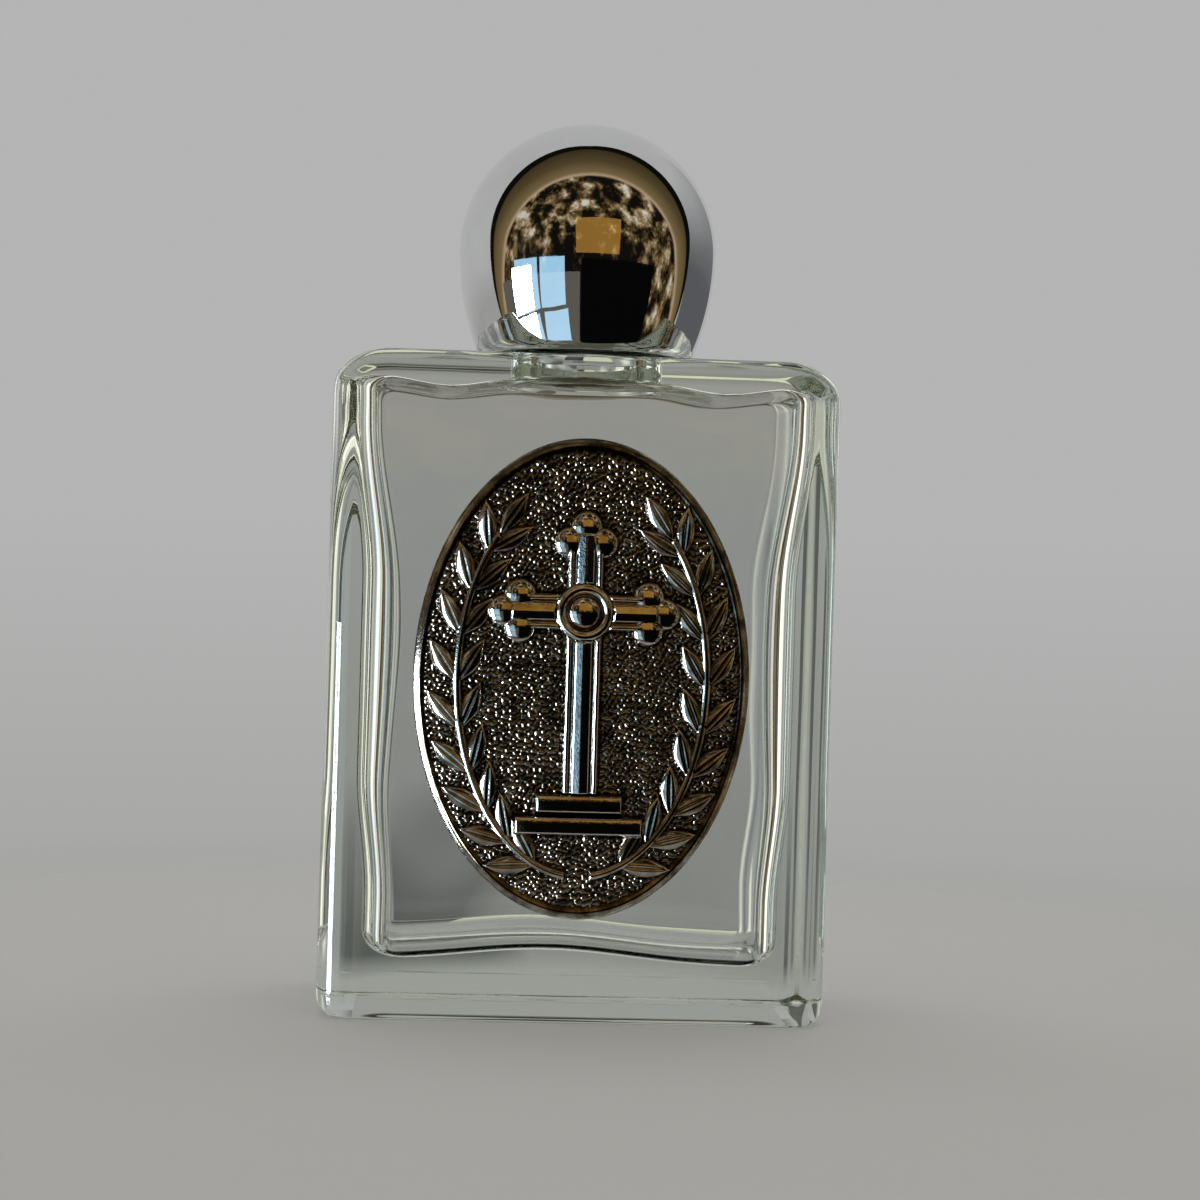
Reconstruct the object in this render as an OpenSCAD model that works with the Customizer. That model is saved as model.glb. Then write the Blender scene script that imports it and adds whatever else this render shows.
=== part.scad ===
// Small glass flask with a screw-on ball cap and an oval relief medallion on its front.
// Millimetres, +Z up. The origin is the middle of the flat base, on the axis of the neck.
// The medallion faces -Y.

/* [Glass body] */
// Width of the glass, side to side
body_width = 40; // [36:0.5:60]
// Depth of the glass, front to back
body_depth = 20; // [18:0.5:30]
// Height of the glass from its base to its shoulder
body_height = 52.4; // [46:0.2:80]
// Radius of the four upright edges
upright_edge_r = 1.9; // [1:0.1:2.5]
// Radius of the base's front and back edges
heel_edge_r = 1.6; // [0.8:0.1:2.4]
// Radius of the base's corners, seen from the front
heel_corner_r = 2.2; // [1:0.1:3]
// Radius of the shoulder's front and back edges
shoulder_edge_r = 2.1; // [1:0.1:2.8]
// Radius of the shoulder's corners, seen from the front
shoulder_corner_r = 2.6; // [1:0.1:4]

/* [Cavity] */
// Glass in front of the cavity and behind it
face_wall = 2.9; // [2:0.1:4]
// Glass at each side of the cavity, measured at its corners
side_wall = 3.2; // [2:0.1:5]
// Glass under the cavity, measured at its corners
base_wall = 4.5; // [3:0.1:7]
// Glass above the cavity, measured at its corners
shoulder_wall = 2.8; // [2:0.1:5]
// How far each side of the cavity bows inward
side_bow = 1; // [0.4:0.1:2]
// How far the cavity's floor bows upward
floor_bow = 1.2; // [0.4:0.1:2]
// How far the cavity's roof bows downward
roof_bow = 1; // [0.4:0.1:2]
// Radius of the cavity's corners, seen from the front
cavity_corner_r = 3; // [2:0.1:5]
// Radius of the cavity's upright edges
cavity_edge_r = 2.4; // [1:0.1:4]
// Radius of the front and back edges of the cavity's floor and roof
cavity_end_r = 2.7; // [1:0.1:4]

/* [Neck] */
// Height of the neck above the shoulder
neck_height = 11.4; // [9.5:0.1:15]
// Diameter of the neck under its thread
neck_d = 11.5; // [10:0.1:14]
// Diameter of the bore
bore_d = 7; // [5:0.1:8]
// Width of the funnel from the cavity's roof into the bore
funnel_flare = 2.2; // [0.5:0.1:3]
// Height of the funnel above the cavity's corners
funnel_height = 1.6; // [1:0.1:2.4]
// Radius of the hollow fillet around the foot of the neck
neck_fillet_r = 1; // [0.5:0.1:1.1]
// Radius of the rim's outer edge
rim_edge_r = 0.5; // [0.2:0.1:0.8]
// Width of the chamfer inside the mouth
mouth_chamfer = 0.4; // [0.2:0.1:0.8]

/* [Thread] */
// Rise of the thread in one turn
pitch = 2.12; // [1.9:0.02:2.6]
// Depth of the neck's thread
thread_depth = 0.75; // [0.5:0.05:1]
// Width of the neck's thread at its root
thread_root_w = 1.2; // [0.9:0.05:1.3]
// Width of the neck's thread at its crest
thread_crest_w = 0.5; // [0.3:0.05:0.7]
// Free space between the two threads on every side
thread_clearance = 0.22; // [0.15:0.01:0.3]
// Distance from the rim down to the middle of the thread's upper end
thread_drop = 1.9; // [1.5:0.1:3]
// Turns of thread on the neck
neck_turns = 2; // [1:0.25:2.5]
// Turns of thread in the cap
cap_turns = 1.75; // [1:0.25:2]

/* [Cap] */
// Space between the shoulder and the cap's rim
cap_gap = 1.2; // [0.8:0.1:3]
// Thickness of the shell at its rim
shell_rim_wall = 1.05; // [0.8:0.05:2]
// How far the ball stands out past its rim
ball_swell = 1.45; // [1.2:0.05:3]
// Height of the ball above the insert
crown_height = 5.8; // [5:0.1:9]
// Thickness of the shell over the hollow in its crown
crown_wall = 1.5; // [1:0.1:2.5]
// Width of the ledge that stops the insert
crown_ledge = 1.4; // [0.8:0.1:2]
// Width of the chamfer around the rim's outer edge
shell_chamfer = 0.3; // [0.1:0.05:0.5]
// Thickness of the insert's wall outside its thread
insert_wall = 1.2; // [0.9:0.05:2]
// Thickness of the insert's closed end
insert_end = 1.2; // [0.8:0.1:2]
// How far the insert's mouth lies inside the cap's rim
insert_recess = 0.5; // [0.2:0.1:1]
// Free space between the insert and the shell
insert_clearance = 0.05; // [0.02:0.01:0.1]
// Radius of the bead that snaps the insert into the shell
snap_bead_r = 0.4; // [0.3:0.05:0.5]
// Height of the snap bead above the insert's mouth
snap_bead_z = 1.6; // [1:0.1:3]
// Ribs that keep the insert from turning in the shell
rib_count = 12; // [6:1:16]
// Width of each rib
rib_w = 0.9; // [0.6:0.1:1.2]
// Height of each rib above the insert's wall
rib_h = 0.35; // [0.2:0.05:0.5]
// Length of each rib, down from the insert's end
rib_length = 5; // [3:0.5:6]
// Thickness of the sealing liner
liner_t = 1; // [0.6:0.1:2]
// Free space around the sealing liner
liner_clearance = 0.3; // [0.1:0.05:0.5]

/* [Medallion] */
// Width of the medallion
medal_width = 26.2; // [20:0.2:30]
// Height of the medallion
medal_height = 37.4; // [30:0.2:44]
// Height of the medallion's middle above the middle of the glass
medal_rise = 0.8; // [-2:0.1:2]
// Thickness of the medallion's plate
plate_t = 1.3; // [0.8:0.1:2]
// Width of the bevel around the plate's face
plate_bevel = 0.5; // [0.2:0.1:0.8]
// Thickness of the adhesive pad
pad_t = 0.25; // [0.1:0.05:0.6]
// Distance from the pad's edge to the medallion's edge
pad_margin = 1.2; // [0.5:0.1:3]

/* [Relief] */
// Height of the cross above the plate
cross_h = 1; // [0.5:0.1:1.4]
// Width of the cross's arms
cross_bar_w = 2.8; // [2:0.1:4]
// Length of the cross's arm on each side, from its centre to its bud
cross_arm = 5.6; // [4:0.1:7]
// Length of the cross's upper arm, from its centre to its bud
cross_head = 6; // [4:0.1:8]
// Length of the cross's shaft, from its centre down to the steps
cross_shaft = 14; // [11:0.1:15]
// Height of the cross's centre above the medallion's middle
cross_rise = 5.2; // [3:0.1:7]
// Radius of each of the three buds at the end of an arm
bud_r = 1.25; // [0.8:0.05:1.6]
// Height of each step under the cross
step_rise = 1.7; // [1:0.1:2]
// Width of the upper step
step_width = 7; // [5:0.1:8]
// How much wider the lower step is on each side
step_tread = 1.6; // [1:0.1:2]
// Height of the steps above the plate
step_h = 0.75; // [0.4:0.05:1.2]
// Height of the branches above the plate
branch_h = 0.55; // [0.3:0.05:1]
// Distance from the branches' stems to the medallion's edge
branch_inset = 3.4; // [2.8:0.1:4]
// Width of a branch's stem
stem_w = 0.7; // [0.4:0.1:1]
// Pairs of leaves on each branch
leaf_pairs = 9; // [5:1:10]
// Length of a leaf
leaf_length = 4; // [3:0.1:4.5]
// Width of a leaf
leaf_width = 1.5; // [1:0.1:2]
// Angle between a leaf and its stem
leaf_spread = 32; // [20:1:45]

/* [Hidden] */
$fn = 96;

// Rings of the thread in one turn, and how far its root reaches into the wall that carries it
thread_steps = 30;
thread_sink = 0.3;
// Angle over which each end of a thread fades into its wall
thread_fade = 40;
// Overrun of a cut past the faces that it opens
overrun = 1;

neck_r = neck_d / 2;
bore_r = bore_d / 2;
shoulder_z = body_height;
rim_z = shoulder_z + neck_height;

cavity_width = body_width - 2 * side_wall;
cavity_depth = body_depth - 2 * face_wall;
cavity_height = body_height - base_wall - shoulder_wall;
cavity_roof_z = body_height - shoulder_wall;

// The thread leans from its root width to its crest width
flank_slope = (thread_root_w - thread_crest_w) / thread_depth;
crest_r = neck_r + thread_depth;
cap_root_r = crest_r + thread_clearance;
cap_crest_r = neck_r + thread_clearance;
neck_thread_z = rim_z - thread_drop - neck_turns * pitch;

// The cap is set out from the glass upward
cap_low_z = shoulder_z + cap_gap;
insert_low_z = cap_low_z + insert_recess;
liner_low_z = rim_z;
insert_end_z = liner_low_z + liner_t;
insert_top_z = insert_end_z + insert_end;
cap_top_z = insert_top_z + crown_height;
insert_r = cap_root_r + insert_wall;
shell_bore_r = insert_r + insert_clearance;
shell_rim_r = shell_bore_r + shell_rim_wall;
ball_r = shell_rim_r + ball_swell;
ball_z = cap_top_z - ball_r;
liner_r = cap_root_r - liner_clearance;

// Half a pitch of offset puts the cap's thread in the middle of the neck's groove
cap_thread_z = neck_thread_z - pitch / 2;

// The ball's lower half is an arc that leaves the equator upright and ends at the rim
tuck_height = ball_z - cap_low_z;
tuck_r = (tuck_height * tuck_height + ball_swell * ball_swell) / (2 * ball_swell);

medal_z = body_height / 2 + medal_rise;
pad_y = -body_depth / 2;
plate_y = pad_y - pad_t;

// The branches follow an oval inside the medallion, from the foot of the cross upward
branch_from = -84;
branch_to = 46;
branch_a = medal_width / 2 - branch_inset;
branch_b = medal_height / 2 - branch_inset;
stem_points = 24;

// Rectangle on the X axis, with its own radius for the lower and the upper corners
module soft_rectangle(width, height, low_r, high_r) {
    translate([-width / 2, low_r]) square([width, height - low_r - high_r]);
    translate([low_r - width / 2, 0]) square([width - 2 * low_r, height / 2]);
    translate([high_r - width / 2, height / 2]) square([width - 2 * high_r, height / 2]);
    for (side = [-1, 1]) {
        translate([side * (width / 2 - low_r), low_r]) circle(low_r);
        translate([side * (width / 2 - high_r), height - high_r]) circle(high_r);
    }
}

// Extrudes an outline in X and Z through the depth
module through_depth(depth) {
    rotate([90, 0, 0]) linear_extrude(depth, center = true) children();
}

// Extrudes an outline in Y and Z through the width
module through_width(width) {
    rotate([90, 0, 90]) linear_extrude(width, center = true) children();
}

// Disc whose edge bows into a side of the given length by the given amount
module bow_disc(length, bow) {
    r = (length * length / 4 + bow * bow) / (2 * bow);
    translate([0, r - bow]) circle(r, $fn = 256);
}

module glass_outside() {
    intersection() {
        through_depth(body_depth + 2 * overrun)
            soft_rectangle(body_width, body_height, heel_corner_r, shoulder_corner_r);
        through_width(body_width + 2 * overrun)
            soft_rectangle(body_depth, body_height, heel_edge_r, shoulder_edge_r);
        translate([0, -body_depth / 2, -overrun])
            linear_extrude(body_height + 2 * overrun)
                soft_rectangle(body_width, body_depth, upright_edge_r, upright_edge_r);
    }
}

// Front outline of the cavity, with all four sides bowed inward
module cavity_outline() {
    difference() {
        soft_rectangle(cavity_width, cavity_height, cavity_corner_r, cavity_corner_r);
        rotate(180) bow_disc(cavity_width, floor_bow);
        translate([0, cavity_height]) bow_disc(cavity_width, roof_bow);
        for (side = [-1, 1])
            translate([side * cavity_width / 2, cavity_height / 2])
                rotate(-side * 90) bow_disc(cavity_height, side_bow);
    }
}

module cavity() {
    translate([0, 0, base_wall])
        intersection() {
            through_depth(cavity_depth + 2 * overrun) cavity_outline();
            through_width(cavity_width + 2 * overrun)
                soft_rectangle(cavity_depth, cavity_height, cavity_end_r, cavity_end_r);
            translate([0, -cavity_depth / 2, -overrun])
                linear_extrude(cavity_height + 2 * overrun)
                    soft_rectangle(cavity_width, cavity_depth, cavity_edge_r, cavity_edge_r);
        }
}

// Funnel, bore and mouth
module neck_passage() {
    funnel_low_z = cavity_roof_z - roof_bow - overrun;
    funnel_top_z = cavity_roof_z + funnel_height;
    translate([0, 0, funnel_low_z])
        cylinder(r1 = bore_r + funnel_flare, r2 = bore_r, h = funnel_top_z - funnel_low_z);
    translate([0, 0, funnel_top_z - overrun])
        cylinder(r = bore_r, h = rim_z + 2 * overrun - funnel_top_z);
    translate([0, 0, rim_z - mouth_chamfer])
        cylinder(r1 = bore_r, r2 = bore_r + mouth_chamfer + overrun, h = mouth_chamfer + overrun);
}

module neck_outside() {
    translate([0, 0, shoulder_z - overrun])
        rotate_extrude() {
            square([neck_r, neck_height + overrun - rim_edge_r]);
            square([neck_r - rim_edge_r, neck_height + overrun]);
            translate([neck_r - rim_edge_r, neck_height + overrun - rim_edge_r]) circle(rim_edge_r);
            difference() {
                square([neck_r + neck_fillet_r, overrun + neck_fillet_r]);
                translate([neck_r + neck_fillet_r, overrun + neck_fillet_r]) circle(neck_fillet_r);
            }
        }
}

// How far a ridge has risen out of its wall, from 0 at either end to 1
function ridge_rise(angle, sweep) = min(1, angle / thread_fade, (sweep - angle) / thread_fade);

// One ring of a ridge: two points in the wall and two at the crest
function ridge_ring(angle, z, wall_r, tip_r, wall_w, tip_w) = [
    for (corner = [[wall_r, -wall_w], [tip_r, -tip_w], [tip_r, tip_w], [wall_r, wall_w]])
        [corner[0] * cos(angle), corner[0] * sin(angle), z + corner[1] / 2]
];

// Helical ridge that starts at angle 0 and height 0 and climbs by one pitch in each turn
module helical_ridge(turns, wall_r, crest_r, wall_w, crest_w) {
    sweep = 360 * turns;
    steps = ceil(turns * thread_steps);
    // Each end of the ridge lies inside the wall
    hidden_r = wall_r + (crest_r - wall_r) * thread_sink / (2 * (thread_depth + thread_sink));
    points = [
        for (step = [0:steps])
            let (angle = sweep * step / steps,
                 rise = ridge_rise(angle, sweep),
                 tip_r = hidden_r + rise * (crest_r - hidden_r),
                 tip_w = wall_w + (crest_w - wall_w) * (tip_r - wall_r) / (crest_r - wall_r))
                each ridge_ring(angle, pitch * angle / 360, wall_r, tip_r, wall_w, tip_w)
    ];
    sides = [
        for (step = [0:steps - 1], corner = [0:3])
            let (next = (corner + 1) % 4, low = 4 * step, high = low + 4)
                each [[low + corner, low + next, high + corner], [low + next, high + next, high + corner]]
    ];
    last = 4 * steps;
    ends = [[0, 3, 2], [0, 2, 1], [last, last + 1, last + 2], [last, last + 2, last + 3]];
    // A ridge that grows inward has its faces turned round
    outward = crest_r > wall_r;
    faces = [for (face = concat(sides, ends)) outward ? face : [face[2], face[1], face[0]]];
    polyhedron(points, faces);
}

module neck_thread() {
    translate([0, 0, neck_thread_z])
        helical_ridge(neck_turns, neck_r - thread_sink, crest_r,
                      thread_root_w + flank_slope * thread_sink, thread_crest_w);
}

// The cap's ridge fills the neck's groove, less the clearance on both flanks
function groove_width(radius) =
    pitch - thread_root_w + flank_slope * (radius - neck_r) - 2 * thread_clearance;

module cap_thread() {
    translate([0, 0, cap_thread_z])
        helical_ridge(cap_turns, cap_root_r + thread_sink, cap_crest_r,
                      groove_width(cap_root_r + thread_sink), groove_width(cap_crest_r));
}

module glass_bottle() {
    color([0.78, 0.84, 0.80, 0.45]) {
        difference() {
            union() {
                glass_outside();
                neck_outside();
            }
            cavity();
            neck_passage();
        }
        neck_thread();
    }
}

module ellipse(width, height) {
    scale([width / height, 1]) circle(d = height, $fn = 180);
}

// Puts an outline drawn in X and Y upright on the glass, growing forward from the given Y
module on_front(y) {
    translate([0, y, medal_z]) rotate([90, 0, 0]) children();
}

module medallion_adhesive() {
    color([0.86, 0.84, 0.74])
        on_front(pad_y)
            linear_extrude(pad_t)
                ellipse(medal_width - 2 * pad_margin, medal_height - 2 * pad_margin);
}

// Three buds at the end of an arm that points along +Y
module budded_end() {
    translate([0, bud_r / 2]) circle(bud_r);
    for (side = [-1, 1]) translate([side * bud_r, -bud_r / 2]) circle(bud_r);
}

module cross_outline() {
    translate([-cross_bar_w / 2, -cross_shaft]) square([cross_bar_w, cross_shaft + cross_head]);
    translate([-cross_arm, -cross_bar_w / 2]) square([2 * cross_arm, cross_bar_w]);
    translate([0, cross_head]) budded_end();
    for (side = [-1, 1]) translate([side * cross_arm, 0]) rotate(-side * 90) budded_end();
}

module steps_outline() {
    top = cross_rise - cross_shaft;
    for (step = [0:1])
        translate([0, top - (step + 0.5) * step_rise])
            square([step_width + 2 * step * step_tread, step_rise], center = true);
}

function branch_point(angle, away = 0) = [(branch_a + away) * cos(angle), (branch_b + away) * sin(angle)];
function branch_heading(angle) = atan2(branch_b * cos(angle), -branch_a * sin(angle));

// Pointed leaf that grows along +X from the origin
module leaf() {
    r = (leaf_length * leaf_length + leaf_width * leaf_width) / (4 * leaf_width);
    intersection_for (side = [-1, 1])
        translate([leaf_length / 2, side * (r - leaf_width / 2)]) circle(r);
}

module branch() {
    sweep = branch_to - branch_from;
    outer = [for (i = [0:stem_points]) branch_point(branch_from + sweep * i / stem_points, stem_w / 2)];
    inner = [for (i = [stem_points:-1:0]) branch_point(branch_from + sweep * i / stem_points, -stem_w / 2)];
    polygon(concat(outer, inner));
    for (pair = [1:leaf_pairs]) {
        angle = branch_from + sweep * pair / (leaf_pairs + 0.5);
        translate(branch_point(angle))
            for (side = [-1, 1]) rotate(branch_heading(angle) + side * leaf_spread) leaf();
    }
    translate(branch_point(branch_to)) rotate(branch_heading(branch_to)) leaf();
}

// A relief starts in the middle of the plate, so that it is one piece with it
module raised(height) {
    translate([0, 0, plate_t / 2]) linear_extrude(plate_t / 2 + height) children();
}

module medallion() {
    color([0.50, 0.47, 0.43])
        on_front(plate_y) {
            linear_extrude(plate_t - plate_bevel) ellipse(medal_width, medal_height);
            linear_extrude(plate_t) ellipse(medal_width - 2 * plate_bevel, medal_height - 2 * plate_bevel);
            raised(cross_h) translate([0, cross_rise]) cross_outline();
            raised(step_h) steps_outline();
            raised(branch_h) {
                branch();
                mirror([1, 0]) branch();
            }
        }
}

// Half section of the ball, from its rim to its top
module ball_section() {
    intersection() {
        translate([0, ball_z]) circle(ball_r);
        translate([0, ball_z]) square([ball_r, ball_r]);
    }
    difference() {
        intersection() {
            translate([ball_r - tuck_r, ball_z]) circle(tuck_r, $fn = 180);
            translate([0, cap_low_z]) square([ball_r, tuck_height]);
        }
        translate([shell_rim_r - shell_chamfer, cap_low_z])
            polygon([[0, 0], [3 * shell_chamfer, 3 * shell_chamfer], [3 * shell_chamfer, -shell_chamfer],
                     [0, -shell_chamfer]]);
    }
}

module insert_ribs(clearance) {
    for (rib = [0:rib_count - 1])
        rotate(360 * rib / rib_count)
            translate([cap_root_r, -rib_w / 2 - clearance, insert_top_z - rib_length - clearance])
                cube([insert_wall + rib_h + clearance, rib_w + 2 * clearance, rib_length + clearance]);
}

module snap_bead(clearance) {
    rotate_extrude()
        translate([insert_r - snap_bead_r / 2, insert_low_z + snap_bead_z]) circle(snap_bead_r + clearance);
}

module cap_shell() {
    ledge_r = shell_bore_r - crown_ledge;
    color([0.80, 0.81, 0.82])
        difference() {
            rotate_extrude() ball_section();
            translate([0, 0, cap_low_z - overrun])
                cylinder(r = shell_bore_r, h = insert_top_z - cap_low_z + overrun);
            intersection() {
                translate([0, 0, ball_z]) sphere(ball_r - crown_wall);
                translate([0, 0, insert_top_z - overrun]) cylinder(r = ledge_r, h = ball_r);
            }
            insert_ribs(insert_clearance);
            snap_bead(insert_clearance);
        }
}

module cap_insert() {
    color([0.90, 0.90, 0.88]) {
        difference() {
            union() {
                translate([0, 0, insert_low_z]) cylinder(r = insert_r, h = insert_top_z - insert_low_z);
                insert_ribs(0);
                snap_bead(0);
            }
            translate([0, 0, insert_low_z - overrun])
                cylinder(r = cap_root_r, h = insert_end_z - insert_low_z + overrun);
        }
        cap_thread();
    }
}

module cap_liner() {
    color([0.95, 0.94, 0.90])
        translate([0, 0, liner_low_z]) cylinder(r = liner_r, h = liner_t);
}

glass_bottle();
medallion();
medallion_adhesive();
cap_shell();
cap_insert();
cap_liner();
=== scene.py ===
"""Looks of the holy water bottle: a thick glass flask, a chrome ball cap and a relief medallion."""

import math

import bmesh
import bpy
import numpy as np
from mathutils import Matrix, Vector


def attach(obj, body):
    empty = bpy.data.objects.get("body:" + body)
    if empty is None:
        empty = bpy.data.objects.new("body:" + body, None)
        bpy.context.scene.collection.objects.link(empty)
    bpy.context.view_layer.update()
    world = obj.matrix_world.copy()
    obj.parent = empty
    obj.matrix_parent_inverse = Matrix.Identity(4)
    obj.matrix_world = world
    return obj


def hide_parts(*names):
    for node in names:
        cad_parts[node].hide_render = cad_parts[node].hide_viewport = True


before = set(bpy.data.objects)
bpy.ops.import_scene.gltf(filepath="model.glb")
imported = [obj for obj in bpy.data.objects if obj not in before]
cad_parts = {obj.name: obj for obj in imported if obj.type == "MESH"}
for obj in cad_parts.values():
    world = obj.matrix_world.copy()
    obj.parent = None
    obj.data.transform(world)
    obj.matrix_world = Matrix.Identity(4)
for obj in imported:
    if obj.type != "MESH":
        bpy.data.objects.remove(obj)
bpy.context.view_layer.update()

# Shapes are worked out in millimetres and turned into metres where a mesh is made
MM = 0.001

# Camera, fitted to the outline of the photographed object
CAMERA_PLACE = Vector((-0.010763, -0.21203, 0.034587))
CAMERA_YAW = math.radians(-3.411)
CAMERA_PITCH = math.radians(-0.398)
CAMERA_ROLL = math.radians(1.745)
CAMERA_LENS_MM = 77.8

# Outside of the glass
BODY_HALF_X = 20.0
BODY_HALF_Y = 10.0
BODY_TOP_Z = 52.4
UPRIGHT_R = 2.2
UPRIGHT_LEAST_R = 1.2
HEEL_RUN = 1.9
HEEL_LIFT = 1.6
HEEL_EDGE_R = 0.3
SHOULDER_RUN = 4.6
SHOULDER_DROP = 1.75
SHOULDER_EDGE_R = 1.6
EDGE_SQUARENESS = 0.87
BASE_HOLLOW = 0.2
SEAM_RISE = 0.05
MOULD_LINE_Z = 1.75
MOULD_LINE_DEPTH = 0.04
MOULD_LINE_W = 0.07
WAVE_RISE = 0.010

# Neck and its thread
NECK_R = 5.75
NECK_FILLET = 1.3
RIM_Z = 63.8
RIM_EDGE_R = 0.5
BORE_R = 3.5
MOUTH_CHAMFER = 0.4
THREAD_PITCH = 2.12
THREAD_RISE = 0.75
THREAD_ROOT_W = 1.2
THREAD_CREST_W = 0.5
THREAD_FIRST_Z = 57.66
THREAD_TURNS = 2
THREAD_FADE = 40.0
NECK_RING_STEP = 0.12

# Cavity
CAVITY_HALF_X = 16.7
CAVITY_HALF_Y = 7.1
CAVITY_END_RUN = 2.2
CAVITY_LOW_Z = 4.3
CAVITY_ROOF_Z = 50.4
CAVITY_ROOF_END_R = 0.8
CAVITY_ROOF_EDGE_R = 1.3
CAVITY_FLOOR_END_R = 2.0
CAVITY_FLOOR_EDGE_R = 1.25
CAVITY_LOW_FLARE = 0.8
CAVITY_HIGH_FLARE = 1.15
CAVITY_END_SWELL = 1.0
CAVITY_FLOOR_BOW = 1.1
CAVITY_ROOF_BOW = 0.7
CAVITY_FACE_BOW = 0.3
CAVITY_WAVE = 0.03
FLARE_MOST = 0.4
BEND_MOST = 0.56
FUNNEL_R = 6.1
FUNNEL_LIP_R = 0.4
FUNNEL_LOW_Z = 52.5
FUNNEL_HIGH_Z = 52.8

# Cap
BALL_R = 10.47
BALL_Z = 61.33
CAP_LOW_Z = 52.85
CAP_RIM_R = 8.71
CAP_RIM_CHAMFER = 0.3
CAP_BORE_R = 7.97
CAP_MOUTH_CHAMFER = 0.12
CAP_LEDGE_Z = 66.0
CAP_LEDGE_R = 6.57
CROWN_WALL = 1.5
CAP_SEGMENTS = 160

# Medallion
MEDAL_A = 13.1
MEDAL_B = 18.7
MEDAL_Z = 27.0
PAD_MARGIN = 1.2
PAD_BACK_Y = -9.98
PAD_FRONT_Y = -10.25
PLATE_FRONT_Y = -11.55
PLATE_BEVEL = 0.5
PLATE_DEPTH = 1.3
PAD_SEGMENTS = 180

# Relief on the medallion, from its middle
CROSS_RISE = 5.2
CROSS_ARM = 5.6
CROSS_HEAD = 6.0
CROSS_SHAFT = 14.0
BUD_R = 1.25
BUD_EDGE = 0.3
BUD_CROWN = 0.62
STEP_RISE = 1.7
STEP_WIDTH = 7.0
STEP_TREAD = 1.6
STEP_HEIGHT = 0.62
BRANCH_INSET = 3.4
BRANCH_FROM = -84.0
BRANCH_TO = 46.0
LEAF_PAIRS = 9
LEAF_LENGTH = 4.0
LEAF_WIDTH = 1.5
LEAF_SPREAD = 32.0
LEAF_EDGE = 0.16
LEAF_CROWN = 0.26
LEAF_TIP = 0.13
RIB_DEPTH = 0.11
RIB_W = 0.13
STEM_HALF_W = 0.4
STEM_HEIGHT = 0.46
GRAIN = 0.42
GRAIN_RISE = 0.12
GRAIN_WAVES = 60
GRAIN_SPREAD = (0.65, 1.5)
GRAIN_CUT = (-0.75, 0.85)
GRAIN_SEED = 5
BOSS_R = 2.3
BOSS_FLOOR = 0.55
BOSS_RING_R = 1.85
BOSS_RING_W = 0.42
BOSS_RING_RISE = 0.42
BOSS_BALL_R = 1.25
BOSS_BALL_RISE = 0.45
LIP_RISE = 0.1
CROWN = 0.75

# Share of bare metal on the medallion: everywhere, by how far a point stands out, and by its height
WEAR = (0.42, 2.6, 0.45)
WEAR_BLURS = 5

# Rings from the medallion's face over its bevel to its back: outward, backward and share of bare metal
PLATE_RINGS = ((0.12, 0.04, 0.55), (0.3, 0.2, 0.6), (0.44, 0.38, 0.5), (0.5, 0.6, 0.4),
               (0.5, 0.9, 0.35), (0.5, 1.2, 0.3), (0.4, 1.3, 0.2), (-1.5, 1.3, 0.2))


def bell(value, middle, width):
    """A smooth hump of height 1."""
    return np.exp(-((value - middle) / width) ** 2)


def ramp(low, high, value):
    """Goes smoothly from 0 at low to 1 at high."""
    share = np.clip((value - low) / (high - low), 0, 1)
    return share * share * (3 - 2 * share)


def dome(distance, radius):
    """Height of a half ball of radius 1 at a share of its radius, and 0 outside."""
    return np.sqrt(np.clip(1 - (distance / radius) ** 2, 0, 1))


def add_piece(name, points, faces, material):
    """A smooth mesh piece from points in millimetres, with its faces turned outward."""
    mesh = bpy.data.meshes.new(name)
    mesh.from_pydata((np.asarray(points) * MM).tolist(), [], faces)
    shape = bmesh.new()
    shape.from_mesh(mesh)
    bmesh.ops.recalc_face_normals(shape, faces=shape.faces)
    shape.to_mesh(mesh)
    shape.free()
    mesh.shade_smooth()
    mesh.materials.append(material)
    piece = bpy.data.objects.new(name, mesh)
    bpy.context.scene.collection.objects.link(piece)
    return piece


def weight_normals(piece):
    """Flat faces stay flat beside their rounded edges."""
    modifier = piece.modifiers.new("flat_faces", "WEIGHTED_NORMAL")
    modifier.keep_sharp = True


def band(first, second):
    """Faces between two rings, given as lists of point numbers."""
    count = len(first)
    return [(first[i], first[(i + 1) % count], second[(i + 1) % count], second[i]) for i in range(count)]


def ring_skin(rings, first_pole, last_pole):
    """Points and faces of a closed skin through equal rings, with a point at each end."""
    count = len(rings[0])
    points = np.vstack([[first_pole], *rings, [last_pole]])
    numbers = [[1 + count * k + i for i in range(count)] for k in range(len(rings))]
    last = len(points) - 1
    faces = [(0, numbers[0][(i + 1) % count], numbers[0][i]) for i in range(count)]
    for first, second in zip(numbers, numbers[1:]):
        faces += band(first, second)
    faces += [(last, numbers[-1][i], numbers[-1][(i + 1) % count]) for i in range(count)]
    return points, faces


def at_height(outline, z):
    """A ring of points from X and Y and one height, or one height each."""
    return np.column_stack([outline, np.broadcast_to(z, len(outline))])


def lathe(profile, segments):
    """Rings of a profile of radii and heights turned about Z, and the two poles on the axis."""
    angles = np.arange(segments) * 2 * math.pi / segments
    circle = np.column_stack([np.cos(angles), np.sin(angles)])
    rings = [at_height(radius * circle, z) for radius, z in profile[1:-1]]
    return rings, (0, 0, profile[0][1]), (0, 0, profile[-1][1])


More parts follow.
